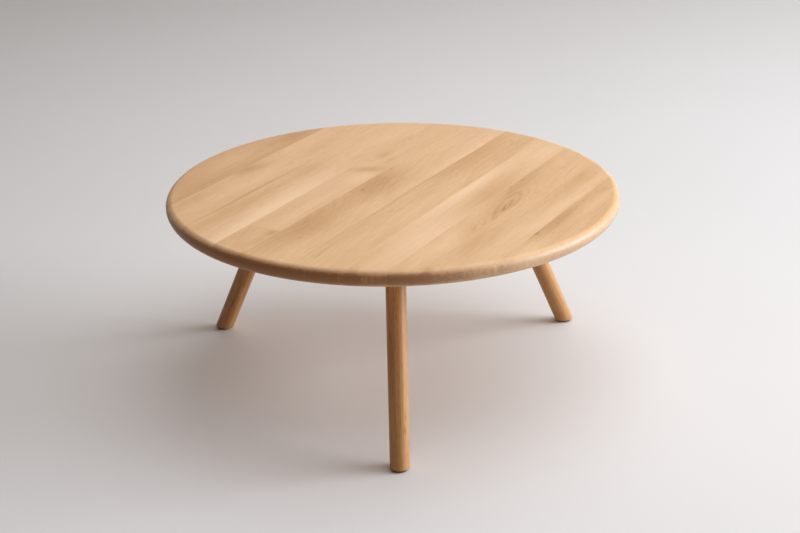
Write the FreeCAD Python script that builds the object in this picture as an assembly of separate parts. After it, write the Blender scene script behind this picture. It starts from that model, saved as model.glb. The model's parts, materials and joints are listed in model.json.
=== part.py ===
import FreeCAD, Part
import math
import os

# A round folding low table of solid oak, standing open on its three splayed legs.
# Lengths are millimetres and angles are degrees. Z is up, and the origin lies on the
# floor under the centre of the top. The front leg points along -Y.

# The whole table
table_height = 352.0
top_diameter = 800.0
top_thickness = 30.0
upper_nose_radius = 12.0
leg_azimuths = {"front": -90.0, "right": 30.0, "left": 150.0}

# The boards of the top. They run along one azimuth and are glued edge to edge. The
# seams are shares of the top's radius, counted across the boards from the centre.
board_azimuth = 60.0
seam_shares = [-0.740, -0.527, -0.304, -0.142, 0.095, 0.291, 0.465, 0.586, 0.803]
end_joint_board = 4
end_joint_share = -0.690

# The turned legs
leg_splay = 25.25
leg_head_diameter = 34.5
leg_foot_diameter = 33.0
foot_round = 3.0
pivot_radius = 246.5

# The felt pads and the nails that hold them
pad_diameter = 24.0
pad_thickness = 3.0
nail_diameter = 2.4
nail_length = 18.0
nail_head_diameter = 9.0
nail_head_height = 1.0
nail_point_length = 2.4

# The steel hinge brackets: a plate on the underside with two cheeks welded to it
pin_skew = 17.5
plate_thickness = 3.0
plate_length = 84.0
plate_width = 34.0
plate_corner = 6.0
plate_screw_inset_along = 9.0
plate_screw_inset_across = 7.5
cheek_thickness = 3.0
cheek_radius = 14.0
weld_leg = 2.0

# The tongue at the head of the leg, which turns between the cheeks
tongue_thickness = 20.0
fold_clearance = 1.75
stop_gap = 0.3
shoulder_clearance = 2.5

# The friction pivot: bolt, bush, two washers of nylon, a disc spring and a lock nut
bolt_diameter = 8.0
bolt_head_diameter = 14.0
bolt_head_height = 4.4
bolt_socket_across_flats = 5.0
bolt_socket_depth = 2.5
bolt_tail = 1.5
bush_diameter = 12.0
friction_washer_diameter = 24.0
friction_washer_thickness = 1.5
washer_clearance = 0.2
spring_diameter = 18.0
spring_thickness = 0.8
spring_rise = 0.5
nut_across_flats = 13.0
nut_height = 8.0
nut_collar_height = 2.0
nut_collar_diameter = 11.5
running_clearance = 0.05

# The oak turn buttons that hold the folded legs up
keeper_reach = 225.0
keeper_side_gap = 2.0
keeper_under_gap = 1.25
button_length = 58.0
button_width = 18.0
button_thickness = 7.0
button_edge_round = 1.5
button_lift = 0.2
post_diameter = 18.0
spigot_diameter = 10.0
spigot_length = 12.0
keeper_washer_diameter = 11.0
keeper_washer_thickness = 1.0
keeper_screw_diameter = 4.0
keeper_screw_length = 34.0
keeper_head_diameter = 8.0
keeper_head_height = 2.6
keeper_seat_gap = 0.1

# The steel channels let into the underside across the boards, to keep the top flat
channel_offset = 110.0
channel_length = 600.0
channel_width = 30.0
channel_depth = 12.0
channel_wall = 2.0
channel_side_clearance = 0.3
channel_screw_shares = [-0.85, -0.30, 0.30, 0.85]
channel_slot_length = 10.0
channel_slot_width = 4.6

# The wood screws
screw_diameter = 4.0
screw_fit = 0.05
bracket_screw_length = 25.0
bracket_screw_head_diameter = 8.0
bracket_screw_hole_diameter = 4.5
countersink_sink = 0.15
channel_screw_length = 22.0
channel_screw_head_diameter = 7.6
channel_screw_head_height = 1.9
screw_point_length = 5.0
recess_span = 4.0
recess_slot = 1.0
recess_depth = 1.2

# Shares of a radius or a height: the blunt tip of a point, and the round of a screw's head
tip_share = 0.125
head_round_share = 0.33

# How far a cutting shape runs past what it cuts, and how exactly an edge's place is known
overrun = 60.0
edge_tolerance = 0.003

quarter_turn = 90.0
ORIGIN = FreeCAD.Vector(0, 0, 0)
ALONG_X = FreeCAD.Vector(1, 0, 0)
ALONG_Y = FreeCAD.Vector(0, 1, 0)
UP = FreeCAD.Vector(0, 0, 1)
DOWN = FreeCAD.Vector(0, 0, -1)

# Sizes that follow from those above
top_radius = top_diameter / 2
underside = table_height - top_thickness
leg_head_radius = leg_head_diameter / 2
leg_foot_radius = leg_foot_diameter / 2
pivot_drop = leg_head_radius + fold_clearance + plate_thickness
pivot_height = underside - pivot_drop
plate_face = pivot_drop - plate_thickness
head_reach = plate_face - stop_gap
shoulder_distance = cheek_radius + shoulder_clearance
cheek_inner = tongue_thickness / 2 + washer_clearance + friction_washer_thickness
cheek_outer = cheek_inner + cheek_thickness

# The open leg's direction from its pivot, in the frame of its hinge
splay = math.radians(leg_splay)
skew = math.radians(pin_skew)
leg_direction = FreeCAD.Vector(
    math.sin(splay) * math.sin(skew),
    -math.sin(splay) * math.cos(skew),
    -math.cos(splay),
)
leg_length = pivot_height / math.cos(splay)
leg_tilt = math.degrees(math.atan2(-leg_direction.y, -leg_direction.z))

# The folded leg's direction: level, and as far off the pin's square as the open leg
folded_direction = FreeCAD.Vector(
    leg_direction.x,
    math.sqrt(1 - leg_direction.x * leg_direction.x),
    0,
)
towards_centre = FreeCAD.Vector(-folded_direction.y, folded_direction.x, 0)
keeper_offset = leg_head_radius + keeper_side_gap + button_width / 2
keeper_place = folded_direction * keeper_reach + towards_centre * keeper_offset
button_top = -leg_head_radius - keeper_under_gap
button_bottom = button_top - button_thickness


def block(x_low, x_high, y_low, y_high, z_low, z_high):
    """A box between two corners."""
    corner = FreeCAD.Vector(x_low, y_low, z_low)
    return Part.makeBox(x_high - x_low, y_high - y_low, z_high - z_low, corner)


def disc(diameter, height, base, direction=UP):
    """A round bar or disc that starts at base and runs along direction."""
    return Part.makeCylinder(diameter / 2, height, base, direction)


def hexagon_bar(across_flats, height, base_x):
    """A six-sided bar along X that starts at base_x."""
    corner_radius = across_flats / 2 / math.cos(math.pi / 6)
    corners = []
    for step in range(6):
        angle = math.pi / 3 * step
        corners.append(FreeCAD.Vector(
            base_x,
            corner_radius * math.cos(angle),
            corner_radius * math.sin(angle),
        ))
    face = Part.Face(Part.makePolygon(corners + corners[:1]))
    return face.extrude(ALONG_X * height)


def level_edges(shape, height):
    """The edges of a shape that lie in one level plane."""
    found = []
    for edge in shape.Edges:
        box = edge.BoundBox
        if abs(box.ZMin - height) < edge_tolerance and abs(box.ZMax - height) < edge_tolerance:
            found.append(edge)
    return found


def upright_edges(shape):
    """The straight edges of a shape that stand along Z."""
    found = []
    for edge in shape.Edges:
        box = edge.BoundBox
        if max(box.XLength, box.YLength) < edge_tolerance and box.ZLength > edge_tolerance:
            found.append(edge)
    return found


def cross_recess(base):
    """The cross cut into a screw head from below, at base."""
    half_span = recess_span / 2
    half_slot = recess_slot / 2
    one = block(-half_span, half_span, -half_slot, half_slot, 0, recess_depth)
    other = block(-half_slot, half_slot, -half_span, half_span, 0, recess_depth)
    cross = one.fuse(other)
    cross.translate(base)
    return cross


def pointed_shank(diameter, length, base):
    """A screw's shank that runs up from base and ends in a point."""
    point_start = base + UP * (length - screw_point_length)
    shank = disc(diameter, length - screw_point_length, base)
    tip_radius = diameter / 2 * tip_share
    point = Part.makeCone(diameter / 2, tip_radius, screw_point_length, point_start)
    return shank.fuse(point)


def countersunk_screw(base):
    """A bracket screw driven upwards, with the face of its head at base."""
    head_height = (bracket_screw_head_diameter - screw_diameter) / 2
    head = Part.makeCone(bracket_screw_head_diameter / 2, screw_diameter / 2, head_height, base)
    shank = pointed_shank(screw_diameter, bracket_screw_length, base)
    return head.fuse(shank).cut(cross_recess(base)).removeSplitter()


def pan_screw(diameter, length, head_diameter, head_height, seat):
    """A pan head screw driven upwards, with its head against seat from below."""
    head_base = seat + DOWN * head_height
    head = disc(head_diameter, head_height, head_base)
    head = head.makeFillet(head_height * head_round_share, level_edges(head, head_base.z))
    shank = pointed_shank(diameter, length, seat)
    return head.fuse(shank).cut(cross_recess(head_base)).removeSplitter()


def to_table(shape, azimuth):
    """Carry a piece from the frame of one hinge to its place under the top."""
    placed = shape.copy()
    placed.rotate(ORIGIN, UP, azimuth + quarter_turn - pin_skew)
    angle = math.radians(azimuth)
    placed.translate(FreeCAD.Vector(
        pivot_radius * math.cos(angle),
        pivot_radius * math.sin(angle),
        pivot_height,
    ))
    return placed


def along_boards(shape):
    """Turn a piece drawn with its boards along Y to the boards' azimuth."""
    placed = shape.copy()
    placed.rotate(ORIGIN, UP, board_azimuth - quarter_turn)
    return placed


def plate_screw_places():
    """The centres of the four bracket screws, in the frame of the hinge."""
    along = plate_length / 2 - plate_screw_inset_along
    across = plate_width / 2 - plate_screw_inset_across
    return [
        FreeCAD.Vector(side * along, end * across, plate_face)
        for side in (-1, 1)
        for end in (-1, 1)
    ]


def hinge_bracket():
    """The plate and its two cheeks, with the bolt hole and the screw holes."""
    half_length = plate_length / 2
    half_width = plate_width / 2
    plate = block(-half_length, half_length, -half_width, half_width, plate_face, pivot_drop)
    bracket = plate.makeFillet(plate_corner, upright_edges(plate))
    bead = weld_leg
    for side in (-1, 1):
        inner = side * cheek_inner
        outer = side * cheek_outer
        low_x = min(inner, outer)
        high_x = max(inner, outer)
        cheek = block(low_x, high_x, -cheek_radius, cheek_radius, 0, plate_face)
        eye = disc(2 * cheek_radius, cheek_thickness, ALONG_X * low_x, ALONG_X)
        weld_corners = [
            FreeCAD.Vector(outer, -cheek_radius, plate_face),
            FreeCAD.Vector(outer + side * bead, -cheek_radius, plate_face),
            FreeCAD.Vector(outer, -cheek_radius, plate_face - bead),
        ]
        weld_face = Part.Face(Part.makePolygon(weld_corners + weld_corners[:1]))
        weld = weld_face.extrude(ALONG_Y * (2 * cheek_radius))
        bracket = bracket.fuse([cheek, eye, weld])
    hole_diameter = bolt_diameter + 2 * running_clearance
    hole = disc(hole_diameter, 2 * overrun, ALONG_X * -overrun, ALONG_X)
    bracket = bracket.cut(hole)
    sink_height = (bracket_screw_head_diameter - screw_diameter) / 2
    mouth_radius = bracket_screw_head_diameter / 2 + countersink_sink
    throat_radius = screw_diameter / 2 + countersink_sink
    for place in plate_screw_places():
        through = disc(bracket_screw_hole_diameter, plate_thickness, place)
        sink = Part.makeCone(mouth_radius, throat_radius, sink_height, place)
        bracket = bracket.cut([through, sink])
    return bracket.removeSplitter()


def bracket_screws():
    """The four wood screws of one bracket, with their heads flush with the plate."""
    return [countersunk_screw(place) for place in plate_screw_places()]


def leg_bar():
    """The plain tapered bar of a leg, longer than the leg at both ends."""
    taper = (leg_foot_radius - leg_head_radius) / leg_length
    start_radius = leg_head_radius - taper * overrun
    end_radius = leg_foot_radius + taper * overrun
    start = leg_direction * -overrun
    length = leg_length + 2 * overrun
    return Part.makeCone(start_radius, end_radius, length, start, leg_direction)


def leg():
    """One leg: tongue and shoulders at its head, a level cut and an eased edge at its foot."""
    foot_level = -pivot_height + pad_thickness
    reach = leg_length + overrun
    bar = leg_bar()
    bar = bar.cut(block(-reach, reach, -reach, reach, foot_level - reach, foot_level))
    bar = bar.makeFillet(foot_round, level_edges(bar, foot_level))
    bar = bar.cut(block(-reach, reach, -reach, reach, head_reach, reach))
    half_tongue = tongue_thickness / 2
    round_head = disc(2 * head_reach, 2 * overrun, ALONG_X * -overrun, ALONG_X)
    for low_x, high_x in ((-overrun, -half_tongue), (half_tongue, overrun)):
        shoulder = block(low_x, high_x, -overrun, overrun, -shoulder_distance, overrun)
        shoulder.rotate(ORIGIN, ALONG_X, -leg_tilt)
        bar = bar.cut(shoulder)
    upper_corner = block(-overrun, overrun, 0, overrun, 0, overrun)
    turned_corner = upper_corner.copy()
    turned_corner.rotate(ORIGIN, ALONG_X, -leg_tilt)
    for corner in (upper_corner, turned_corner):
        bar = bar.cut(corner.cut(round_head))
    bar = bar.cut(disc(bush_diameter, 2 * overrun, ALONG_X * -overrun, ALONG_X))
    nail_hole_diameter = nail_diameter + 2 * screw_fit
    bar = bar.cut(disc(nail_hole_diameter, nail_length, foot_centre() + DOWN * nail_head_height))
    return bar.removeSplitter()


def foot_centre():
    """Where the leg's axis meets the level cut of its foot, in the frame of the hinge."""
    to_cut = (pivot_height - pad_thickness) / math.cos(splay)
    return leg_direction * to_cut


def foot_pad():
    """The round felt pad under a foot, dished for the nail's head."""
    base = foot_centre() + DOWN * pad_thickness
    pad = disc(pad_diameter, pad_thickness, base)
    dish_diameter = nail_head_diameter + 2 * screw_fit
    dish = disc(dish_diameter, nail_head_height, foot_centre() + DOWN * nail_head_height)
    return pad.cut(dish)


def foot_nail():
    """The nail that holds a pad, driven straight up into the leg."""
    base = foot_centre() + DOWN * nail_head_height
    head = disc(nail_head_diameter, nail_head_height, base)
    shank_length = nail_length - nail_point_length - screw_fit
    shank = disc(nail_diameter, shank_length, base)
    radius = nail_diameter / 2
    point_start = base + UP * shank_length
    point = Part.makeCone(radius, radius * tip_share, nail_point_length, point_start)
    return head.fuse([shank, point]).removeSplitter()


def pivot_bush():
    """The brass bush pressed through the tongue."""
    half_tongue = tongue_thickness / 2
    sleeve = disc(bush_diameter, tongue_thickness, ALONG_X * -half_tongue, ALONG_X)
    bore_diameter = bolt_diameter + 2 * running_clearance
    bore = disc(bore_diameter, 2 * overrun, ALONG_X * -overrun, ALONG_X)
    return sleeve.cut(bore)


def pivot_bolt():
    """The pivot bolt: a round head with a six-sided socket, and a plain shank."""
    head_start = -cheek_outer - bolt_head_height
    head = disc(bolt_head_diameter, bolt_head_height, ALONG_X * head_start, ALONG_X)
    rim = [edge for edge in head.Edges if abs(edge.BoundBox.XMax - head_start) < edge_tolerance]
    head = head.makeFillet(bolt_head_height * head_round_share, rim)
    socket = hexagon_bar(bolt_socket_across_flats, bolt_socket_depth, head_start)
    shank_length = 2 * cheek_outer + spring_stack() + nut_height + bolt_tail
    shank = disc(bolt_diameter, shank_length, ALONG_X * -cheek_outer, ALONG_X)
    return head.fuse(shank).cut(socket).removeSplitter()


def spring_stack():
    """The height of the disc spring between the cheek and the nut."""
    return spring_thickness + spring_rise


def disc_spring():
    """The coned spring washer that keeps the pivot tight."""
    outer = spring_diameter / 2
    inner = bolt_diameter / 2 + running_clearance
    outline = [
        FreeCAD.Vector(cheek_outer, outer, 0),
        FreeCAD.Vector(cheek_outer + spring_thickness, outer, 0),
        FreeCAD.Vector(cheek_outer + spring_stack(), inner, 0),
        FreeCAD.Vector(cheek_outer + spring_rise, inner, 0),
    ]
    face = Part.Face(Part.makePolygon(outline + outline[:1]))
    return face.revolve(ORIGIN, ALONG_X, 4 * quarter_turn)


def lock_nut():
    """The lock nut: a six-sided body with a round collar at its outer end."""
    start = cheek_outer + spring_stack()
    body = hexagon_bar(nut_across_flats, nut_height - nut_collar_height, start)
    collar_start = start + nut_height - nut_collar_height
    collar = disc(nut_collar_diameter, nut_collar_height, ALONG_X * collar_start, ALONG_X)
    hole_diameter = bolt_diameter + 2 * screw_fit
    hole = disc(hole_diameter, 2 * overrun, ALONG_X * -overrun, ALONG_X)
    return body.fuse(collar).cut(hole).removeSplitter()


def friction_washers():
    """The two nylon washers, one against the inside of each cheek."""
    hole_diameter = bolt_diameter + 2 * running_clearance
    hole = disc(hole_diameter, 2 * overrun, ALONG_X * -overrun, ALONG_X)
    washers = []
    for start in (-cheek_inner, cheek_inner - friction_washer_thickness):
        ring = disc(friction_washer_diameter, friction_washer_thickness, ALONG_X * start, ALONG_X)
        washers.append(ring.cut(hole))
    return washers


def keeper_post():
    """The turned oak post beside a folded leg, with a spigot glued into the top."""
    post_foot = keeper_place + UP * (button_top + button_lift)
    post_height = pivot_drop - button_top - button_lift
    post = disc(post_diameter, post_height, post_foot)
    post = post.makeFillet(button_edge_round, level_edges(post, post_foot.z))
    spigot = disc(spigot_diameter, spigot_length, keeper_place + UP * pivot_drop)
    hole_length = keeper_screw_length + overrun
    hole_diameter = keeper_screw_diameter + 2 * screw_fit
    hole_base = keeper_seat() + DOWN * overrun
    hole = disc(hole_diameter, hole_length, hole_base)
    return post.fuse(spigot).cut(hole).removeSplitter()


def keeper_seat():
    """Where the head of the keeper's screw bears on its washer, from below."""
    return keeper_place + UP * (button_bottom - keeper_seat_gap - keeper_washer_thickness)


def turn_button():
    """The long oak button, lying along the folded leg when it is open."""
    half_width = button_width / 2
    straight = button_length / 2 - half_width
    bar = block(-straight, straight, -half_width, half_width, 0, button_thickness)
    ends = [disc(button_width, button_thickness, ALONG_X * end) for end in (-straight, straight)]
    button = bar.fuse(ends).removeSplitter()
    rims = level_edges(button, 0) + level_edges(button, button_thickness)
    button = button.makeFillet(button_edge_round, rims)
    hole_diameter = keeper_screw_diameter + 2 * running_clearance
    button = button.cut(disc(hole_diameter, button_thickness, ORIGIN))
    heading = math.degrees(math.atan2(folded_direction.y, folded_direction.x))
    button.rotate(ORIGIN, UP, heading)
    button.translate(keeper_place + UP * button_bottom)
    return button


def keeper_washer():
    """The steel washer under the button."""
    base = keeper_seat()
    ring = disc(keeper_washer_diameter, keeper_washer_thickness, base)
    hole_diameter = keeper_screw_diameter + 2 * screw_fit
    return ring.cut(disc(hole_diameter, keeper_washer_thickness, base))


def keeper_screw():
    """The pan head screw that the button turns on."""
    return pan_screw(
        keeper_screw_diameter,
        keeper_screw_length,
        keeper_head_diameter,
        keeper_head_height,
        keeper_seat(),
    )


def channel_screw_seats(offset):
    """Where the screws of one channel enter it, drawn with the boards along Y."""
    half = channel_length / 2
    return [FreeCAD.Vector(share * half, offset, underside) for share in channel_screw_shares]


def channel_bar(offset, clearance):
    """A channel, web down and flush with the underside. With a clearance, its groove."""
    half_length = channel_length / 2 + clearance
    half_width = channel_width / 2 + clearance
    wall = channel_wall + 2 * clearance
    crown = underside + channel_depth + clearance
    low_y = offset - half_width
    high_y = offset + half_width
    web = block(-half_length, half_length, low_y, high_y, underside, underside + channel_wall)
    near = block(-half_length, half_length, low_y, low_y + wall, underside, crown)
    far = block(-half_length, half_length, high_y - wall, high_y, underside, crown)
    return web.fuse([near, far]).removeSplitter()


def slot(length, width, height, base):
    """A round-ended slot along X."""
    straight = (length - width) / 2
    middle = block(-straight, straight, -width / 2, width / 2, 0, height)
    ends = [disc(width, height, ALONG_X * end) for end in (-straight, straight)]
    shape = middle.fuse(ends)
    shape.translate(base)
    return shape


def channel(offset):
    """One channel with its slots, which let the boards swell and shrink."""
    bar = channel_bar(offset, 0)
    for seat in channel_screw_seats(offset):
        bar = bar.cut(slot(channel_slot_length, channel_slot_width, channel_wall, seat))
    return along_boards(bar)


def channel_screws(offset):
    """The screws of one channel."""
    screws = []
    for seat in channel_screw_seats(offset):
        screw = pan_screw(
            screw_diameter,
            channel_screw_length,
            channel_screw_head_diameter,
            channel_screw_head_height,
            seat,
        )
        screws.append(along_boards(screw))
    return screws


def top_blank():
    """The whole round top before any hole or groove. Its edge is rounded over above and
    more fully rounded under, so the two curves meet at the widest circle."""
    lower_nose_radius = top_thickness - upper_nose_radius
    low_axis = FreeCAD.Vector(0, 0, underside)
    low_rim = FreeCAD.Vector(top_radius - lower_nose_radius, 0, underside)
    widest = FreeCAD.Vector(top_radius, 0, underside + lower_nose_radius)
    high_rim = FreeCAD.Vector(top_radius - upper_nose_radius, 0, table_height)
    high_axis = FreeCAD.Vector(0, 0, table_height)
    diagonal = math.cos(math.pi / 4)
    lower_side = low_rim + FreeCAD.Vector(diagonal, 0, 1 - diagonal) * lower_nose_radius
    upper_side = high_rim + FreeCAD.Vector(diagonal, 0, diagonal - 1) * upper_nose_radius
    outline = Part.Wire([
        Part.LineSegment(low_axis, low_rim).toShape(),
        Part.Arc(low_rim, lower_side, widest).toShape(),
        Part.Arc(widest, upper_side, high_rim).toShape(),
        Part.LineSegment(high_rim, high_axis).toShape(),
        Part.LineSegment(high_axis, low_axis).toShape(),
    ])
    return Part.Face(outline).revolve(ORIGIN, UP, 4 * quarter_turn)


def bored_top():
    """The top with its screw holes, the sockets of the posts and the channel grooves."""
    cuts = []
    pilot_diameter = screw_diameter + 2 * screw_fit
    screw_depth = bracket_screw_length - plate_thickness + screw_fit
    for azimuth in leg_azimuths.values():
        for place in plate_screw_places():
            start = FreeCAD.Vector(place.x, place.y, pivot_drop)
            cuts.append(to_table(disc(pilot_diameter, screw_depth, start), azimuth))
        socket_start = keeper_place + UP * pivot_drop
        socket = disc(spigot_diameter + 2 * screw_fit, spigot_length + screw_fit, socket_start)
        cuts.append(to_table(socket, azimuth))
    for offset in (-channel_offset, channel_offset):
        cuts.append(along_boards(channel_bar(offset, channel_side_clearance)))
        for seat in channel_screw_seats(offset):
            pilot = disc(pilot_diameter, channel_screw_length + screw_fit, seat)
            cuts.append(along_boards(pilot))
    return top_blank().cut(cuts)


def top_boards():
    """The boards by name, from the left edge to the right edge."""
    whole = bored_top()
    edge = top_radius + overrun
    seams = [-edge] + [share * top_radius for share in seam_shares] + [edge]
    end_joint = end_joint_share * top_radius
    boards = {}
    for number in range(1, len(seams)):
        low_x = seams[number - 1]
        high_x = seams[number]
        lengths = {"": (-edge, edge)}
        if number == end_joint_board:
            lengths = {"": (end_joint, edge), "_end": (-edge, end_joint)}
        for suffix, (low_y, high_y) in lengths.items():
            strip = block(low_x, high_x, low_y, high_y, underside - overrun, table_height + overrun)
            board = whole.common(along_boards(strip))
            boards["top_board_%02d%s" % (number, suffix)] = board.removeSplitter()
    return boards


def leg_set(side, azimuth):
    """Every piece of one leg, its hinge and its keeper, by name."""
    pieces = {
        "leg": leg(),
        "foot_pad": foot_pad(),
        "foot_nail": foot_nail(),
        "hinge_bracket": hinge_bracket(),
        "bracket_screws": Part.makeCompound(bracket_screws()),
        "pivot_bolt": pivot_bolt(),
        "pivot_bush": pivot_bush(),
        "friction_washers": Part.makeCompound(friction_washers()),
        "disc_spring": disc_spring(),
        "lock_nut": lock_nut(),
        "keeper_post": keeper_post(),
        "keeper_button": turn_button(),
        "keeper_washer": keeper_washer(),
        "keeper_screw": keeper_screw(),
    }
    return {"%s_%s" % (name, side): to_table(piece, azimuth) for name, piece in pieces.items()}


def table():
    """Every piece of the table by name."""
    pieces = top_boards()
    for side, offset in (("near", -channel_offset), ("far", channel_offset)):
        pieces["channel_" + side] = channel(offset)
        pieces["channel_screws_" + side] = Part.makeCompound(channel_screws(offset))
    for side, azimuth in leg_azimuths.items():
        pieces.update(leg_set(side, azimuth))
    return pieces


os.makedirs("parts", exist_ok=True)
for name, piece in table().items():
    piece.exportStep("parts/%s.step" % name)
    print(name, len(piece.Solids), piece.isValid(), round(piece.Volume, 1))
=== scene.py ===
import json
import math

import bpy
from mathutils import Matrix, Vector


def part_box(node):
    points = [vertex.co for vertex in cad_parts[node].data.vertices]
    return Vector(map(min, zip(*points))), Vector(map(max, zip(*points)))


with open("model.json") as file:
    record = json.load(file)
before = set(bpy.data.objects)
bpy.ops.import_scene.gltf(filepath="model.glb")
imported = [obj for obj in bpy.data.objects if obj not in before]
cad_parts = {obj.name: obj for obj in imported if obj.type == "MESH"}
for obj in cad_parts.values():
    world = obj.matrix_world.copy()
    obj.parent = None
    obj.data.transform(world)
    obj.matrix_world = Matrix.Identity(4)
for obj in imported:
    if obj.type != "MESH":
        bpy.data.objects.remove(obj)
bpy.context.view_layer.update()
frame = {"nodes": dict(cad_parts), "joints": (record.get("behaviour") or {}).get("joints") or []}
nodes = frame["nodes"]

SIDES = ("front", "right", "left")
BOARDS = [node for node in sorted(nodes) if node.startswith("top_board")]

# The photograph's frame and the camera that was fitted to the table in it. The place and
# the reach are in metres, the pitch, yaw and roll in degrees.
PHOTO_WIDTH = 800
SENSOR_WIDTH = 36.0
FOCAL_PIXELS = 1553.0
CAMERA_PLACE = Vector((-0.0198, -2.6054, 1.2563))
CAMERA_PITCH = 22.085
CAMERA_YAW = 0.664
CAMERA_ROLL = -1.028
CAMERA_REACH = 60.0

RIGHT = Vector((1.0, 0.0, 0.0))
BACK = Vector((0.0, 1.0, 0.0))
UP = Vector((0.0, 0.0, 1.0))

# The grain of the top runs along one azimuth
BOARD_AZIMUTH = math.radians(60.0)
ALONG = Vector((math.cos(BOARD_AZIMUTH), math.sin(BOARD_AZIMUTH), 0.0))
ACROSS = Vector((math.sin(BOARD_AZIMUTH), -math.cos(BOARD_AZIMUTH), 0.0))


def box_of(names):
    """The lowest and highest corner of several CAD nodes."""
    boxes = [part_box(name) for name in names]
    low = Vector([min(box[0][axis] for box in boxes) for axis in range(3)])
    high = Vector([max(box[1][axis] for box in boxes) for axis in range(3)])
    return low, high


top_low, top_high = box_of(BOARDS)
TOP_RADIUS = (top_high.x - top_low.x) / 2


def colour(red, green, blue):
    return (red, green, blue, 1.0)


def way(azimuth, elevation):
    """The direction that has an azimuth and an elevation in degrees."""
    a = math.radians(azimuth)
    e = math.radians(elevation)
    return Vector((math.cos(e) * math.cos(a), math.cos(e) * math.sin(a), math.sin(e)))


class Wire:
    """A value in a finish. Arithmetic on wires adds the Math nodes that work it out."""

    def __init__(self, finish, socket):
        self.finish = finish
        self.socket = socket

    def math(self, operation, *others):
        inputs = dict(enumerate((self,) + others))
        return self.finish.node("ShaderNodeMath", {"operation": operation}, inputs)

    def __add__(self, other):
        return self.math("ADD", other)

    def __radd__(self, other):
        return self.math("ADD", other)

    def __sub__(self, other):
        return self.math("SUBTRACT", other)

    def __rsub__(self, other):
        inputs = {0: other, 1: self}
        return self.finish.node("ShaderNodeMath", {"operation": "SUBTRACT"}, inputs)

    def __mul__(self, other):
        return self.math("MULTIPLY", other)

    def __rmul__(self, other):
        return self.math("MULTIPLY", other)

    def __truediv__(self, other):
        return self.math("DIVIDE", other)

    def size(self):
        return self.math("ABSOLUTE")

    def root(self):
        return self.math("SQRT")

    def fraction(self):
        return self.math("FRACT")

    def floor(self):
        return self.math("FLOOR")

    def hill(self):
        """A hill that is 1 where this value is 0 and falls off on both sides."""
        return (self * self * -1.0).math("EXPONENT")

    def between(self, low, high):
        """Goes smoothly from 0 at low to 1 at high."""
        settings = {"interpolation_type": "SMOOTHSTEP"}
        inputs = {"Value": self, "From Min": low, "From Max": high}
        return self.finish.node("ShaderNodeMapRange", settings, inputs)


class Finish:
    """The nodes of one material, or of the room's light."""

    def __init__(self, owner, output="ShaderNodeOutputMaterial"):
        self.owner = owner
        owner.use_nodes = True
        self.tree = owner.node_tree
        self.tree.nodes.clear()
        self.output = self.tree.nodes.new(output)
        self.coordinates = self.tree.nodes.new("ShaderNodeTexCoord")

    def node(self, kind, settings=None, inputs=None, output=0):
        """Adds a node: its settings first, then what its sockets hold or are linked to."""
        made = self.tree.nodes.new(kind)
        for name, value in (settings or {}).items():
            if name == "stops":
                self.set_stops(made.color_ramp, value)
            else:
                setattr(made, name, value)
        for key, value in (inputs or {}).items():
            if isinstance(value, Wire):
                self.tree.links.new(value.socket, made.inputs[key])
            else:
                made.inputs[key].default_value = value
        return Wire(self, made.outputs[output])

    def set_stops(self, ramp, stops):
        while len(ramp.elements) < len(stops):
            ramp.elements.new(1.0)
        for element, (share, shade) in zip(ramp.elements, stops):
            element.position = share
            element.color = colour(*shade)

    def place(self):
        """The point on the piece, in metres in the table's frame at rest."""
        return Wire(self, self.coordinates.outputs["Object"])

    def normal(self):
        return Wire(self, self.coordinates.outputs["Normal"])

    def dot(self, vector, direction):
        settings = {"operation": "DOT_PRODUCT"}
        inputs = {0: vector, 1: tuple(direction)}
        return self.node("ShaderNodeVectorMath", settings, inputs, output=1)

    def parts(self, *axes):
        """How far the point on the piece lies along each of several axes."""
        place = self.place()
        return [self.dot(place, axis) for axis in axes]

    def looked_at(self):
        """1 where the camera, a gloss or a glass looks at the surroundings, else 0."""
        path = self.tree.nodes.new("ShaderNodeLightPath")
        camera = Wire(self, path.outputs["Is Camera Ray"])
        gloss = Wire(self, path.outputs["Is Glossy Ray"])
        glass = Wire(self, path.outputs["Is Transmission Ray"])
        return (camera + gloss + glass).math("MINIMUM", 1.0)

    def point(self, x, y, z):
        return self.node("ShaderNodeCombineXYZ", None, {0: x, 1: y, 2: z})

    def noise(self, point, detail, distortion=0.0):
        """Cloudy noise about 0, from a point that is already scaled."""
        inputs = {
            "Vector": point,
            "Scale": 1.0,
            "Detail": detail,
            "Distortion": distortion,
        }
        return self.node("ShaderNodeTexNoise", None, inputs) - 0.5

    def waves(self, parts, counts, detail, distortion=0.0):
        """Cloudy noise about 0, with so many waves for each metre of three parts."""
        scaled = [part * count for part, count in zip(parts, counts)]
        return self.noise(self.point(*scaled), detail, distortion)

    def ramp(self, share, stops):
        return self.node("ShaderNodeValToRGB", {"stops": stops}, {0: share})

    def mix(self, low, high, share):
        inputs = {0: share, 6: low, 7: high}
        return self.node("ShaderNodeMix", {"data_type": "RGBA"}, inputs, output=2)

    def bump(self, height, strength, distance):
        inputs = {"Height": height, "Strength": strength, "Distance": distance}
        return self.node("ShaderNodeBump", None, inputs)

    def shader(self, **sockets):
        """The surface. Names of sockets are written with underscores."""
        inputs = {name.replace("_", " "): value for name, value in sockets.items()}
        return self.node("ShaderNodeBsdfPrincipled", None, inputs)

    def glow(self, shade):
        return self.node("ShaderNodeEmission", None, {"Color": shade, "Strength": 1.0})

    def blend(self, first, second, share):
        return self.node("ShaderNodeMixShader", None, {0: share, 1: first, 2: second})

    def show(self, shader):
        """Joins a shader to the output and returns what it belongs to."""
        self.tree.links.new(shader.socket, self.output.inputs["Surface"])
        return self.owner

    def surface(self, **sockets):
        return self.show(self.shader(**sockets))


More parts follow.
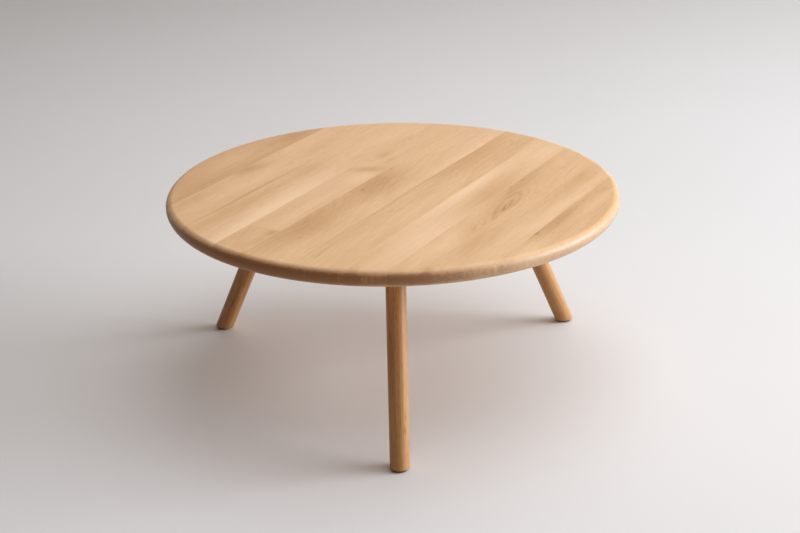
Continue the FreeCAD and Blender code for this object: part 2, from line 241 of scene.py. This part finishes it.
# Oiled oak from its palest sapwood to the dark of a knot, as shares of tone
OAK_TONES = [
    (0.00, (0.845, 0.555, 0.325)),
    (0.30, (0.738, 0.446, 0.229)),
    (0.55, (0.625, 0.344, 0.148)),
    (0.80, (0.515, 0.258, 0.098)),
    (1.00, (0.300, 0.120, 0.035)),
]

# The greyer, paler oak that the rubbed band of the rim goes over to, a painted sheen, and how far
# it goes
PAINTED_SHEEN_OAK = colour(0.575, 0.398, 0.265)
PAINTED_SHEEN_SHARE = 0.39

# The noises of the oak's grain: waves for each metre across and along the grain, whether
# the piece's seed shifts them across and along, and their detail
GRAIN = {
    "bend": (5.0, 1.3, 1, 0, 1.0),
    "drift": (14.0, 3.0, 0, 1, 2.0),
    "streak": (42.0, 2.4, 1, 0, 3.0),
    "fine": (230.0, 9.0, 0, 1, 3.0),
    "fibre": (1500.0, 34.0, 0, 0, 2.0),
    "tick": (420.0, 40.0, 1, 0, 1.0),
    "pore": (2300.0, 60.0, 0, 1, 0.0),
    "mottle": (170.0, 170.0, 1, 0, 2.0),
}

# Waves for each metre of the crowds of ticks, across and along, of the rays on end grain
# and of the flecks, across, along and deep, and of the fields of flecks, across and along.
# The flecks lie askew, and each year of growth has a tone of its own.
CROWD_WAVES = (22.0, 7.0)
RAY_WAVES = (150.0, 150.0, 24.0)
FLECK_WAVES = (330.0, 95.0, 120.0)
FLECK_SKEW = 60.0
FIELD_WAVES = (5.0, 1.3)
YEAR_STEP = 0.37

# Where each part of the grain is still absent and where it is full, as a noise, as a share
# of a ring or, from end_grain on, as a part of the surface's normal
BANDS = {
    "late_wood": (0.30, 0.85),
    "ring_end": (0.90, 1.00),
    "tick": (0.12, 0.24),
    "crowd": (-0.08, 0.16),
    "pore": (0.14, 0.22),
    "fleck": (0.17, 0.26),
    "field": (-0.05, 0.15),
    "eye_line": (0.25, 0.70),
    "eye_line_end": (0.75, 1.00),
    "end_grain": (0.40, 0.97),
    # The rim's nose and the band below it carry painted shade; the rubbed band carries a painted
    # sheen as well as real roughness
    "nose": (0.10, 0.80),
    "rubbed_and_sheen": (0.02, 0.30),
    "below": (-0.05, -0.70),
    "underside": (-0.80, -0.99),
}

# How much each part of the grain, and the painted shade and painted highlight on the rim, darkens
# the oak, as a share of tone. Flecks are paler.
DARKER = {
    "streak": 1.7,
    "fine": 0.20,
    "fibre": 0.12,
    "late_wood": 0.060,
    "year": 0.12,
    "drift": 0.20,
    "tick": 0.24,
    "end_grain": 0.64,
    "ray": 0.36,
    # Painted shade: the rounded rim is darker, and its lower half darker yet
    "nose": 0.38,
    "below": 0.16,
    "pore": 0.16,
    "fleck": -0.07,
    # Painted highlight: the mottled tone on the rim's rubbed band
    "mottle": 0.45,
}

# How much each makes the oak rougher than its plain faces, and how high each stands
PLAIN_ROUGHNESS = 0.41
ROUGHER = {"fine": 0.10, "pore": 0.20, "end_grain": 0.06, "mottle": 0.60, "rubbed_and_sheen": 0.12}
RELIEF = {"fibre": 0.5, "fine": 0.25, "pore": -0.7, "late_wood": 0.15}
RELIEF_STRENGTH = 0.25
RELIEF_DEPTH = 0.0003

# The oil on the rounded edge, which is uneven with the fine grain
OIL = 0.84
OIL_UNEVEN = 1.4
OIL_ROUGHNESS = 0.48

# How far, in metres, the bends and drifts of the grain carry other parts of it
RINGS_BEND = 0.030
RINGS_BEND_DEEP = 0.020
STREAKS_BEND = 0.024
GRAIN_DRIFT = 0.006
PATCH_DRIFT = 0.016
EYE_DRIFT_ACROSS = 0.008
EYE_DRIFT_ALONG = 0.010

# How ragged a patch's ends are, in shares of its half length
PATCH_RAGGED = 0.6

# An eye: how ragged drifts and streaks make its lines, the share of a line that its heart
# starts at, how quickly the lines fade outwards, and how much paler it is between them
EYE_RAGGED = 3.0
EYE_STREAKED = 2.4
EYE_START = 0.88
EYE_FADE = 0.9
EYE_PALER = 0.2

# The boards of the top. Places are shares of the top's radius: across the boards to the
# right, and along them away from the front. A board's tone is its plain tone, its streak is
# how strong its streaks are, and its end is how much its end grain is darker yet. Its rings
# lie about a pith, given across the boards and down from the floor's level. The pith rises
# by the slope, away from the front, and a ring is one year's width in metres. A patch is
# (across, along, half width, half length, lean, depth of tone). A swell bends the growth
# rings round a point: (across, along, half width, half length, rings). An eye is a figure
# of broken lines round a heart: (across, along, half width, half length, lean, lines,
# depth of tone).
BOARD_LOOKS = {
    "top_board_01": dict(
        tone=0.57, pith=(-1.30, 0.22), slope=0.02, ring=0.0034, streak=0.16, end=0.02, seed=1.7,
        patches=[
            (-0.88, -0.02, 0.06, 0.16, 0.0, -0.12),
            (-0.80, -0.40, 0.10, 0.20, 0.0, 0.10),
            (-0.80, 0.45, 0.06, 0.14, 0.0, 0.14),
            (-0.77, 0.02, 0.02, 0.20, 0.0, 0.10),
        ],
        swells=[],
    ),
    "top_board_02": dict(
        tone=0.36, pith=(-0.62, -0.35), slope=0.06, ring=0.0040, streak=0.14, end=0.06, seed=5.1,
        patches=[
            (-0.708, -0.07, 0.046, 0.12, 0.14, 0.26),
            (-0.722, -0.09, 0.016, 0.07, 0.14, 0.16),
            (-0.600, -0.20, 0.06, 0.20, 0.0, -0.08),
            (-0.700, -0.58, 0.04, 0.20, 0.0, 0.16),
            (-0.590, 0.36, 0.03, 0.14, 0.0, 0.10),
            (-0.640, 0.42, 0.05, 0.30, 0.0, 0.05),
            (-0.527, -0.86, 0.012, 0.04, 0.0, 0.30),
            (-0.527, -0.35, 0.006, 0.40, 0.0, 0.26),
        ],
        swells=[(-0.715, -0.07, 0.05, 0.12, 4.0)],
    ),
    "top_board_03": dict(
        tone=0.33, pith=(-0.38, -0.60), slope=0.03, ring=0.0036, streak=0.13, end=0.10, seed=9.3,
        patches=[
            (-0.322, -0.55, 0.060, 0.52, -0.06, -0.42),
            (-0.480, -0.52, 0.055, 0.55, 0.0, 0.18),
            (-0.460, 0.04, 0.08, 0.13, 0.10, 0.12),
            (-0.527, -0.35, 0.006, 0.40, 0.0, 0.30),
            (-0.400, 0.45, 0.05, 0.25, 0.0, -0.05),
            (-0.527, -0.86, 0.012, 0.04, 0.0, 0.30),
        ],
        swells=[(-0.43, 0.02, 0.08, 0.20, 3.0)],
    ),
    "top_board_04": dict(
        tone=0.34, pith=(0.60, -0.10), slope=0.01, ring=0.0030, streak=0.14, end=0.0, seed=13.9,
        patches=[
            (-0.225, 0.16, 0.055, 0.055, 0.9, 0.30),
            (-0.190, 0.04, 0.05, 0.09, 0.0, -0.16),
            (-0.260, 0.38, 0.018, 0.06, 0.0, 0.22),
            (-0.200, 0.33, 0.010, 0.04, 0.0, 0.22),
            (-0.300, 0.80, 0.016, 0.08, 0.0, -0.16),
            (-0.200, -0.40, 0.03, 0.26, 0.0, -0.10),
            (-0.270, -0.45, 0.02, 0.20, 0.0, 0.06),
        ],
        swells=[(-0.22, 0.15, 0.07, 0.10, 3.0)],
    ),
    "top_board_04_end": dict(
        tone=0.40, pith=(-0.20, -0.40), slope=0.05, ring=0.0040, streak=0.12, end=0.04, seed=17.2,
        patches=[
            (-0.16, -0.72, 0.03, 0.03, 0.0, 0.22),
            (-0.26, -0.76, 0.03, 0.08, 0.0, 0.06),
            (-0.142, -0.99, 0.014, 0.05, 0.0, 0.26),
        ],
        swells=[],
    ),
    "top_board_05": dict(
        tone=0.33, pith=(0.05, -0.45), slope=0.03, ring=0.0038, streak=0.14, end=0.08, seed=21.6,
        patches=[
            (-0.115, -0.48, 0.085, 0.36, 0.0, 0.26),
            (-0.050, -0.62, 0.080, 0.18, 0.15, 0.14),
            (-0.110, 0.06, 0.060, 0.20, 0.0, 0.34),
            (-0.030, -0.02, 0.060, 0.18, 0.0, 0.18),
            (-0.096, -0.095, 0.008, 0.011, 0.0, 0.34),
            (-0.050, -0.110, 0.040, 0.010, 0.0, 0.07),
            (0.000, -0.26, 0.020, 0.16, 0.16, -0.04),
            (0.078, 0.55, 0.022, 0.45, 0.0, -0.16),
            (0.095, 0.00, 0.006, 0.80, 0.0, 0.24),
            (-0.142, -0.99, 0.014, 0.05, 0.0, 0.26),
        ],
        swells=[(-0.096, -0.095, 0.040, 0.07, 4.0), (-0.08, -0.45, 0.08, 0.25, 3.0)],
    ),
    "top_board_06": dict(
        tone=0.36, pith=(0.30, -0.50), slope=0.02, ring=0.0034, streak=0.14, end=0.02, seed=25.4,
        patches=[
            (0.130, 0.55, 0.060, 0.42, 0.0, 0.22),
            (0.230, 0.70, 0.060, 0.28, 0.0, 0.08),
            (0.180, 0.14, 0.035, 0.09, 0.0, -0.08),
            (0.225, -0.35, 0.050, 0.40, 0.0, -0.06),
            (0.130, -0.55, 0.025, 0.35, 0.0, 0.08),
            (0.095, 0.00, 0.006, 0.80, 0.0, 0.24),
        ],
        swells=[(0.18, 0.14, 0.05, 0.15, 2.0)],
    ),
    "top_board_07": dict(
        tone=0.28, pith=(0.90, -0.15), slope=0.01, ring=0.0030, streak=0.12, end=0.0, seed=29.8,
        patches=[
            (0.312, 0.12, 0.036, 0.42, 0.0, -0.36),
            (0.425, 0.10, 0.055, 0.28, 0.0, 0.26),
            (0.400, -0.52, 0.070, 0.28, 0.0, -0.20),
            (0.400, 0.75, 0.060, 0.18, 0.0, -0.10),
            (0.330, -0.75, 0.025, 0.20, 0.0, 0.12),
            (0.342, -0.94, 0.020, 0.06, 0.0, 0.20),
        ],
        swells=[(0.42, 0.10, 0.06, 0.30, 2.0)],
    ),
    "top_board_08": dict(
        tone=0.37, pith=(0.56, -0.40), slope=0.05, ring=0.0042, streak=0.13, end=0.06, seed=33.1,
        patches=[
            (0.490, 0.28, 0.045, 0.34, -0.10, 0.26),
            (0.560, -0.03, 0.036, 0.15, -0.10, 0.16),
            (0.566, -0.10, 0.016, 0.040, -0.10, 0.05),
            (0.545, 0.04, 0.010, 0.05, -0.10, -0.14),
            (0.582, 0.03, 0.006, 0.09, -0.10, 0.16),
            (0.555, -0.30, 0.010, 0.030, -0.2, 0.22),
            (0.520, -0.55, 0.045, 0.26, 0.0, -0.22),
            (0.586, -0.81, 0.012, 0.05, 0.0, 0.24),
        ],
        swells=[(0.558, -0.03, 0.034, 0.16, 9.0)],
        eyes=[(0.562, 0.00, 0.036, 0.22, -0.12, 1.9, 0.27)],
    ),
    "top_board_09": dict(
        tone=0.37, pith=(0.72, -0.50), slope=0.03, ring=0.0038, streak=0.13, end=0.04, seed=37.5,
        patches=[
            (0.780, 0.12, 0.032, 0.46, 0.0, -0.26),
            (0.625, -0.48, 0.050, 0.22, 0.0, 0.18),
            (0.700, 0.48, 0.035, 0.20, 0.0, 0.14),
            (0.730, -0.30, 0.035, 0.28, 0.0, -0.14),
            (0.586, -0.81, 0.012, 0.05, 0.0, 0.24),
            (0.793, -0.61, 0.005, 0.012, 0.0, -0.40),
        ],
        swells=[(0.66, 0.10, 0.06, 0.20, 2.0)],
    ),
    "top_board_10": dict(
        tone=0.40, pith=(1.30, -0.20), slope=0.02, ring=0.0032, streak=0.15, end=0.0, seed=41.0,
        patches=[
            (0.825, -0.06, 0.035, 0.24, 0.0, 0.30),
            (0.813, -0.245, 0.005, 0.030, 0.0, 0.30),
            (0.860, -0.42, 0.05, 0.12, 0.0, -0.24),
            (0.850, 0.38, 0.018, 0.06, 0.0, 0.14),
            (0.890, 0.20, 0.030, 0.20, 0.0, -0.14),
        ],
        swells=[],
    ),
}

# What the boards share: their gloss, and the rounded and rubbed rim of the top, with its painted
# shade and painted sheen. Only the eighth board has an eye. The legs, posts and buttons have no
# rim and no figures.
TOP_LOOK = dict(gloss=0.42, rim=1.0, eyes=[])
PLAIN_LOOK = dict(end=-0.20, gloss=0.33, rim=0.0, patches=[], swells=[], eyes=[])


def place_of(figure):
    """A figure's place and half sizes in metres."""
    return [share * TOP_RADIUS for share in figure[:4]]


def growth_rings(u, v, w, bend, drift, look):
    """Growth rings, counted from a pith that the board was sawn beside."""
    pith_across, pith_deep = look["pith"]
    side = u - pith_across * TOP_RADIUS + bend * RINGS_BEND + drift * GRAIN_DRIFT
    deep = w - pith_deep * TOP_RADIUS + v * look["slope"] + bend * RINGS_BEND_DEEP
    rings = (side * side + deep * deep).root() / look["ring"]
    for swell in look["swells"]:
        across, along, half_wide, half_long = place_of(swell)
        near = ((u - across) / half_wide).hill() * ((v - along) / half_long).hill()
        rings = rings + near * swell[-1]
    return rings


def with_patches(tone, u, v, drift, end, patches):
    """Darker and paler patches over a tone. Paler ones leave end grain as it is."""
    for patch in patches:
        across, along, half_wide, half_long = place_of(patch)
        lean, depth = patch[4:]
        away = v - along
        beside = u - across - away * lean + drift * PATCH_DRIFT
        spot = (beside / half_wide).hill() * (away / half_long + drift * PATCH_RAGGED).hill()
        if depth < 0.0:
            spot = spot * (1.0 - end)
        tone = tone + spot * depth
    return tone


def with_eyes(tone, u, v, drift, streak, eyes):
    """Long figures of broken lines over a tone, each round its heart."""
    for eye in eyes:
        across, along, half_wide, half_long = place_of(eye)
        lean, count, depth = eye[4:]
        away = v - along + drift * EYE_DRIFT_ALONG
        beside = (u - across - away * lean + drift * EYE_DRIFT_ACROSS) / half_wide
        away = away / half_long
        from_heart = (beside * beside + away * away).root()
        lap = from_heart * count + drift * EYE_RAGGED + streak * EYE_STREAKED + EYE_START
        lap = lap.fraction()
        line = lap.between(*BANDS["eye_line"]) * (1.0 - lap.between(*BANDS["eye_line_end"]))
        tone = tone + (from_heart * EYE_FADE).hill() * (line - EYE_PALER) * depth
    return tone


def oak(name, along, across, centre, look):
    """Oak with growth rings, streaks, fibre, pores and flecks through its whole depth."""
    finish = Finish(bpy.data.materials.new(name))
    axes = (across, along, along.cross(across))
    u, v, w = [part - centre.dot(axis) for part, axis in zip(finish.parts(*axes), axes)]
    seed = look["seed"]

    def grain(kind, beside):
        """One of the grain's noises, at a place across that may wander."""
        wide, long, seed_across, seed_along, detail = GRAIN[kind]
        x = beside * wide + seed * seed_across
        y = v * long + seed * seed_along
        return finish.noise(finish.point(x, y, w * wide), detail)

    # Growth rings, on slow bends and drifts of the grain
    bend = grain("bend", u)
    drift = grain("drift", u)
    rings = growth_rings(u, v, w, bend, drift, look)
    turn = rings.fraction()
    late = turn.between(*BANDS["late_wood"]) * (1.0 - turn.between(*BANDS["ring_end"]))
    year = finish.noise(finish.point(rings.floor() * YEAR_STEP, seed, 0.0), detail=0.0)

    # Streaks, fibre and short dark ticks along the grain, which wanders, and pores
    path = u + bend * STREAKS_BEND + drift * GRAIN_DRIFT
    streak = grain("streak", path)
    fine = grain("fine", path)
    fibre = grain("fibre", path)
    wide, long = CROWD_WAVES
    crowd = finish.noise(finish.point(u * wide, v * long, seed), detail=2.0)
    ticks = grain("tick", path).between(*BANDS["tick"]) * crowd.between(*BANDS["crowd"])
    pores = grain("pore", u).between(*BANDS["pore"]) * (1.0 - late)

    # Flecks, in fields that cross the board askew
    wide, long, deep = FLECK_WAVES
    spot = finish.point(u * wide + v * FLECK_SKEW, v * long, w * deep)
    fleck = finish.noise(spot, detail=1.0)
    wide, long = FIELD_WAVES
    askew = (u * wide + seed + v * long + w * wide) / 3.0
    field = finish.noise(finish.point(askew, askew, askew), detail=0.0)
    flecks = fleck.between(*BANDS["fleck"]) * field.between(*BANDS["field"])

    # The normal tells end grain and the rounded rim from the faces. The rim gets painted shade,
    # darker yet on its lower half, and its rubbed band gets a painted sheen and is also rougher.
    end = finish.dot(finish.normal(), along).size().between(*BANDS["end_grain"])
    ray = finish.waves((u, v, w), RAY_WAVES, detail=2.0)
    rise = finish.dot(finish.normal(), UP)
    tilt = 1.0 - rise.size()
    nose = tilt.between(*BANDS["nose"]) * (1.0 - end) * look["rim"]
    rubbed_and_sheen = tilt.between(*BANDS["rubbed_and_sheen"]) * (1.0 - end) * look["rim"]
    underside = rise.between(*BANDS["underside"])
    below = rise.between(*BANDS["below"]) * (1.0 - underside) * look["rim"]
    mottle = grain("mottle", u)

    tone = look["tone"] + streak * look["streak"] * DARKER["streak"]
    tone = tone + fine * DARKER["fine"] + fibre * DARKER["fibre"]
    tone = tone + late * (DARKER["late_wood"] + year * DARKER["year"])
    tone = tone + drift * DARKER["drift"] + ticks * DARKER["tick"]
    tone = with_patches(tone, u, v, drift, end, look["patches"])
    tone = with_eyes(tone, u, v, drift, streak, look["eyes"])
    tone = tone + end * (DARKER["end_grain"] + look["end"] + ray * DARKER["ray"])
    # Painted shade: the rounded rim is darker, and its lower half darker yet
    tone = tone + nose * DARKER["nose"] + below * DARKER["below"]
    tone = tone + pores * DARKER["pore"] + flecks * DARKER["fleck"]
    # Painted highlight and sheen: the rim's rubbed band gets a mottled tone and goes over to a
    # greyer, paler oak
    tone = tone + rubbed_and_sheen * mottle * DARKER["mottle"]
    wood = finish.mix(finish.ramp(tone, OAK_TONES), PAINTED_SHEEN_OAK, rubbed_and_sheen * PAINTED_SHEEN_SHARE)

    rough = PLAIN_ROUGHNESS + fine * ROUGHER["fine"] + pores * ROUGHER["pore"]
    rough = rough + end * ROUGHER["end_grain"]
    rough = rough + rubbed_and_sheen * (mottle * ROUGHER["mottle"] + ROUGHER["rubbed_and_sheen"])
    relief = fibre * RELIEF["fibre"] + fine * RELIEF["fine"]
    relief = relief + pores * RELIEF["pore"] + late * RELIEF["late_wood"]
    return finish.surface(
        Base_Color=wood,
        Roughness=rough,
        Coat_Weight=nose * (fine * OIL_UNEVEN + OIL),
        Coat_Roughness=OIL_ROUGHNESS,
        Specular_IOR_Level=look["gloss"],
        Normal=finish.bump(relief, RELIEF_STRENGTH, RELIEF_DEPTH),
    )


# The metals: their tint and roughness
ZINC = ((0.62, 0.62, 0.60), 0.34)
SCREW_STEEL = ((0.66, 0.65, 0.62), 0.26)
BRASS = ((0.72, 0.52, 0.24), 0.30)

# Their clouds and scratches: waves for each metre, how dark a cloud is, how much each makes
# the metal rougher, and how high a cloud stands beside a scratch
CLOUD_WAVES = (90.0, 90.0, 90.0)
CLOUD_BAND = (-0.25, 0.20)
CLOUD_DARK = 0.80
CLOUD_ROUGHER = 0.20
CLOUD_RELIEF = 0.4
SCRATCH_WAVES = (2400.0, 130.0, 900.0)
SCRATCH_ROUGHER = 0.12


def metal(name, tint, roughness):
    """Plated or drawn metal with fine scratches and cloudy patches."""
    finish = Finish(bpy.data.materials.new(name))
    parts = finish.parts(RIGHT, BACK, UP)
    cloud = finish.waves(parts, CLOUD_WAVES, detail=3.0)
    scratch = finish.waves(parts, SCRATCH_WAVES, detail=2.0)
    dark = [part * CLOUD_DARK for part in tint]
    return finish.surface(
        Base_Color=finish.mix(colour(*dark), colour(*tint), cloud.between(*CLOUD_BAND)),
        Metallic=1.0,
        Roughness=roughness + cloud * CLOUD_ROUGHER + scratch * SCRATCH_ROUGHER,
        Normal=finish.bump(scratch + cloud * CLOUD_RELIEF, strength=0.18, distance=0.0001),
    )


# Felt: its colours between hairs and on them, and its hairs and pressed layers
FELT_DARK = colour(0.030, 0.022, 0.017)
FELT_PALE = colour(0.085, 0.066, 0.052)
HAIR_WAVES = (900.0, 900.0, 1600.0)
HAIR_CURL = 1.5
HAIR_ROUGHER = 0.05
LAYER_WAVES = (120.0, 120.0, 900.0)
LAYER_SHARE = 0.5
FELT_BAND = (-0.2, 0.3)
FELT_ROUGHNESS = 0.95


def felt():
    """Pressed dark felt."""
    finish = Finish(bpy.data.materials.new("pressed_felt"))
    parts = finish.parts(RIGHT, BACK, UP)
    hairs = finish.waves(parts, HAIR_WAVES, detail=4.0, distortion=HAIR_CURL)
    layers = finish.waves(parts, LAYER_WAVES, detail=2.0)
    share = (hairs + layers * LAYER_SHARE).between(*FELT_BAND)
    return finish.surface(
        Base_Color=finish.mix(FELT_DARK, FELT_PALE, share),
        Roughness=FELT_ROUGHNESS + hairs * HAIR_ROUGHER,
        Normal=finish.bump(hairs, strength=0.8, distance=0.0006),
    )


# Nylon: its two tints, its clouds and its roughness
NYLON_DARK = colour(0.70, 0.68, 0.60)
NYLON_PALE = colour(0.80, 0.79, 0.73)
NYLON_WAVES = (220.0, 220.0, 220.0)
NYLON_ROUGHNESS = 0.42
NYLON_ROUGHER = 0.15


def nylon():
    """Natural nylon, slightly uneven."""
    finish = Finish(bpy.data.materials.new("natural_nylon"))
    cloud = finish.waves(finish.parts(RIGHT, BACK, UP), NYLON_WAVES, detail=3.0)
    return finish.surface(
        Base_Color=finish.mix(NYLON_DARK, NYLON_PALE, cloud + 0.5),
        Roughness=NYLON_ROUGHNESS + cloud * NYLON_ROUGHER,
        Normal=finish.bump(cloud, strength=0.2, distance=0.0001),
    )


def dress(node, material):
    """Gives a CAD node its finish."""
    nodes[node].data.materials.clear()
    nodes[node].data.materials.append(material)


def dress_boards():
    """The boards of the top, which share one grain."""
    for node in BOARDS:
        look = {**TOP_LOOK, **BOARD_LOOKS[node]}
        dress(node, oak("oak_" + node, ALONG, ACROSS, Vector(), look))


# The legs, and the posts and turn buttons that keep them folded. Their pith is given, in
# shares of the top's radius, from a leg's pivot or from the middle of a post or button.
LEG_LOOKS = {
    "front": dict(tone=0.82, pith=(0.16, 0.05), slope=0.01, ring=0.0034, streak=0.12, seed=51.0),
    "right": dict(tone=0.78, pith=(-0.10, 0.12), slope=0.02, ring=0.0036, streak=0.12, seed=57.0),
    "left": dict(tone=0.82, pith=(0.12, -0.14), slope=0.015, ring=0.0032, streak=0.12, seed=63.0),
}
KEEPER_LOOK = dict(tone=0.55, pith=(0.10, 0.08), slope=0.02, ring=0.0034, streak=0.12, seed=71.0)


def line_of_leg(side):
    """A leg's pivot, and its direction from there to the middle of its foot."""
    joint = next(j for j in frame["joints"] if j["name"] == "leg_%s_fold" % side)
    pivot = Vector(joint["pos_m"])
    low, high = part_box("foot_pad_" + side)
    foot = (low + high) / 2
    foot.z = high.z
    return pivot, (foot - pivot).normalized()


def dress_legs():
    """The legs, with their grain along them."""
    for side in SIDES:
        pivot, along = line_of_leg(side)
        across = along.cross(UP).normalized()
        look = {**LEG_LOOKS[side], **PLAIN_LOOK}
        dress("leg_" + side, oak("oak_leg_" + side, along, across, pivot, look))


def dress_keepers():
    """The posts, with upright grain, and the turn buttons, with the boards' grain."""
    look = {**KEEPER_LOOK, **PLAIN_LOOK}
    for side in SIDES:
        for part, along in (("keeper_post", UP), ("keeper_button", ALONG)):
            node = "%s_%s" % (part, side)
            low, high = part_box(node)
            dress(node, oak("oak_" + node, along, ACROSS, (low + high) / 2, look))


def dress_hardware():
    """The metal pieces, the nylon washers and the felt pads, by how their names start."""
    zinc = metal("zinc_plate", *ZINC)
    screw_steel = metal("bright_screws", *SCREW_STEEL)
    finishes = {
        "hinge_bracket": zinc,
        "channel_near": zinc,
        "channel_far": zinc,
        "disc_spring": zinc,
        "bracket_screws": screw_steel,
        "channel_screws": screw_steel,
        "pivot_bolt": screw_steel,
        "lock_nut": screw_steel,
        "foot_nail": screw_steel,
        "keeper_washer": screw_steel,
        "keeper_screw": screw_steel,
        "pivot_bush": metal("drawn_brass", *BRASS),
        "friction_washers": nylon(),
        "foot_pad": felt(),
    }
    for start, material in finishes.items():
        for node in nodes:
            if node.startswith(start):
                dress(node, material)


def make_camera():
    """The camera where the photograph was taken from."""
    pitch = math.radians(CAMERA_PITCH)
    yaw = math.radians(CAMERA_YAW)
    roll = math.radians(CAMERA_ROLL)
    ahead = Vector((
        math.sin(yaw) * math.cos(pitch),
        math.cos(yaw) * math.cos(pitch),
        -math.sin(pitch),
    ))
    right = ahead.cross(UP).normalized()
    above = right.cross(ahead)
    rolled_right = right * math.cos(roll) + above * math.sin(roll)
    rolled_above = above * math.cos(roll) - right * math.sin(roll)
    data = bpy.data.cameras.new("camera")
    data.sensor_width = SENSOR_WIDTH
    data.lens = FOCAL_PIXELS * SENSOR_WIDTH / PHOTO_WIDTH
    data.clip_end = CAMERA_REACH
    camera = bpy.data.objects.new("camera", data)
    turned = Matrix((rolled_right, rolled_above, -ahead)).transposed()
    camera.matrix_world = Matrix.Translation(CAMERA_PLACE) @ turned.to_4x4()
    bpy.context.scene.collection.objects.link(camera)
    bpy.context.scene.camera = camera


# The room as it is looked at: dim, and pale one way
ROOM_DIM = colour(0.43, 0.42, 0.415)
ROOM_PALE = colour(0.82, 0.80, 0.79)
ROOM_WAY = way(45.0, 10.0)
ROOM_BAND = (-0.30, 0.95)

# The room as it gives light: dim and warm, with a bright wall behind the table
WORLD_DIM = colour(0.070, 0.042, 0.030)
WALL_LIGHT = colour(1.0, 0.97, 0.84)
WALL_WAY = way(72.0, 13.0)
WALL_BAND = (0.62, 0.99)

# The floor: its half width, the greys of its clouds, and where it goes over into the room
# on each side, in metres. All of that lies outside the photograph's frame.
FLOOR_REACH = 14.0
FLOOR_DARK = colour(0.715, 0.682, 0.677)
FLOOR_PALE = colour(0.755, 0.722, 0.717)
FLOOR_WAVES = 1.5
FLOOR_ROUGHNESS = 0.75
FLOOR_RIGHT = (1.60, 2.50)
FLOOR_LEFT = (-4.00, -2.00)
FLOOR_BACK = (3.40, 6.50)
FLOOR_FRONT = (-3.40, -1.60)


def room_shade(finish, direction):
    """The pale room behind the floor, brighter towards the window and the wall behind."""
    share = finish.dot(direction, ROOM_WAY).between(*ROOM_BAND)
    return finish.mix(ROOM_DIM, ROOM_PALE, share)


def make_floor():
    """A plain pale floor that goes over into the room, and that is open from below."""
    mesh = bpy.data.meshes.new("floor")
    corners = [
        (x * FLOOR_REACH, y * FLOOR_REACH, 0.0)
        for x, y in ((-1, -1), (1, -1), (1, 1), (-1, 1))
    ]
    mesh.from_pydata(corners, [], [(0, 1, 2, 3)])
    floor = bpy.data.objects.new("floor", mesh)
    bpy.context.scene.collection.objects.link(floor)
    finish = Finish(bpy.data.materials.new("pale_floor"))
    x, y = finish.parts(RIGHT, BACK)
    cloud = finish.noise(finish.point(x * FLOOR_WAVES, y * FLOOR_WAVES, 0.0), detail=2.0)
    pale = finish.mix(FLOOR_DARK, FLOOR_PALE, cloud + 0.5)
    near = (
        (1.0 - x.between(*FLOOR_RIGHT)) * x.between(*FLOOR_LEFT)
        * (1.0 - y.between(*FLOOR_BACK)) * y.between(*FLOOR_FRONT)
    )
    settings = {"operation": "NORMALIZE"}
    outward = finish.node("ShaderNodeVectorMath", settings, {0: finish.place()})
    room = finish.glow(room_shade(finish, outward))
    lit = finish.shader(Base_Color=pale, Roughness=FLOOR_ROUGHNESS)
    above = finish.blend(lit, room, (1.0 - near) * finish.looked_at())
    clear = finish.node("ShaderNodeBsdfTransparent")
    from_below = finish.node("ShaderNodeNewGeometry", output="Backfacing")
    mesh.materials.append(finish.show(finish.blend(above, clear, from_below)))


def make_room():
    """The room. Its wall behind the table is bright, and the rest gives a dim, warm light."""
    world = bpy.data.worlds.new("room")
    finish = Finish(world, "ShaderNodeOutputWorld")
    direction = Wire(finish, finish.coordinates.outputs["Generated"])
    wall = finish.dot(direction, WALL_WAY).between(*WALL_BAND)
    light = finish.mix(WORLD_DIM, WALL_LIGHT, wall)
    shade = finish.mix(light, room_shade(finish, direction), finish.looked_at())
    finish.show(finish.node("ShaderNodeBackground", None, {"Color": shade, "Strength": 1.0}))
    bpy.context.scene.world = world


# The window's lamps: azimuth and elevation in degrees, width and height in metres, and
# power in watts. They stand at one distance from a point in the table and face it.
WINDOWS = {
    "window": (1.0, 20.7, 5.6, 3.3, 540.0),
    "window_sill": (1.0, 10.0, 3.6, 2.6, 320.0),
    "window_front": (-25.0, 20.0, 3.65, 3.65, 36.0),
}
WINDOW_DISTANCE = 8.0
WINDOW_AIM = Vector((0.0, 0.0, 0.2))
DAYLIGHT = (0.87, 0.94, 0.99)

# The square soft light overhead, which shines straight down
CEILING_PLACE = Vector((1.35, 0.02, 3.4))
CEILING_WIDTH = 4.05
CEILING_POWER = 100.0
CEILING_TINT = (0.95, 0.98, 1.0)


def make_lamp(name, place, target, width, height, power, tint):
    """A soft lamp that faces a point."""
    data = bpy.data.lights.new(name, "AREA")
    data.shape = "RECTANGLE"
    data.size = width
    data.size_y = height
    data.energy = power
    data.color = tint
    lamp = bpy.data.objects.new(name, data)
    lamp.location = place
    lamp.rotation_euler = (target - place).to_track_quat("-Z", "Y").to_euler()
    bpy.context.scene.collection.objects.link(lamp)


def make_light():
    """A tall window far to the right, a dim one nearer the front, and a soft light overhead."""
    for name, (azimuth, elevation, width, height, power) in WINDOWS.items():
        place = WINDOW_AIM + way(azimuth, elevation) * WINDOW_DISTANCE
        make_lamp(name, place, WINDOW_AIM, width, height, power, DAYLIGHT)
    ground = Vector((CEILING_PLACE.x, CEILING_PLACE.y, 0.0))
    size = CEILING_WIDTH
    make_lamp("ceiling", CEILING_PLACE, ground, size, size, CEILING_POWER, CEILING_TINT)


dress_boards()
dress_legs()
dress_keepers()
dress_hardware()
make_camera()
make_floor()
make_room()
make_light()
bpy.context.scene.view_settings.view_transform = "Standard"
